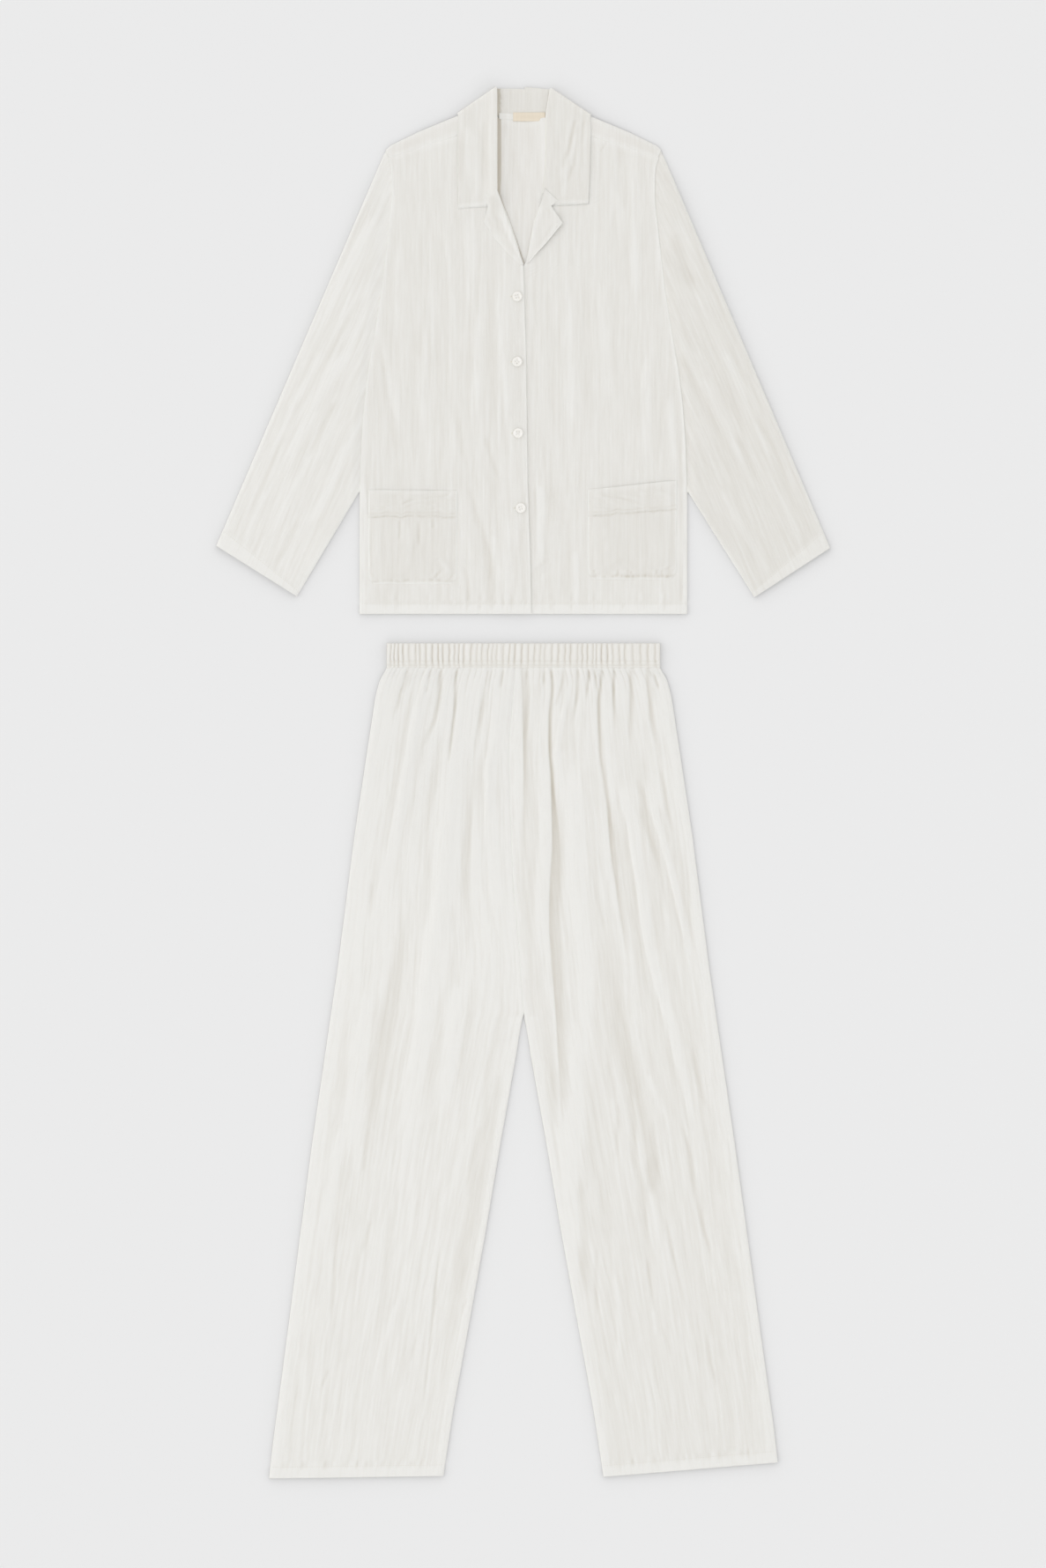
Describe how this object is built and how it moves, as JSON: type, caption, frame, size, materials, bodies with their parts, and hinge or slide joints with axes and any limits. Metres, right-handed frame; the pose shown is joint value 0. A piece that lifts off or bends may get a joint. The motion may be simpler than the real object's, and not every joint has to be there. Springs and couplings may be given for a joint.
{
  "type": "pyjama set laid flat",
  "caption": "Light crinkled-cotton pyjama set laid flat: long-sleeved jacket with notched collar, buttoned front and patch pockets, above wide trousers with a gathered elastic waist",
  "frame": {"origin": "middle of the set's outline, on the surface that it lies on", "axes": "+X to the viewer's right, +Y up both garments, from the trouser hems to the collar, +Z up from the surface"},
  "size_m": [0.7664, 1.7366, 0.0072],
  "materials": {
    "gauze": "off-white crinkled cotton double gauze, matt",
    "pearl": "pearly shirt button",
    "label": "cream woven tape, bare"
  },
  "bodies": {
    "root": {"jacket_back": "gauze", "jacket_front_left": "gauze", "jacket_front_right": "gauze", "sleeve_left": "gauze", "sleeve_right": "gauze", "collar": "gauze", "lapel_left": "gauze", "lapel_right": "gauze", "pocket_left": "gauze", "pocket_right": "gauze", "button_1": "pearl", "button_2": "pearl", "button_3": "pearl", "button_4": "pearl", "neck_label": "label", "leg_front_left": "gauze", "leg_front_right": "gauze", "leg_back_left": "gauze", "leg_back_right": "gauze", "waistband_front": "gauze", "waistband_back": "gauze"}
  },
  "joints": []
}
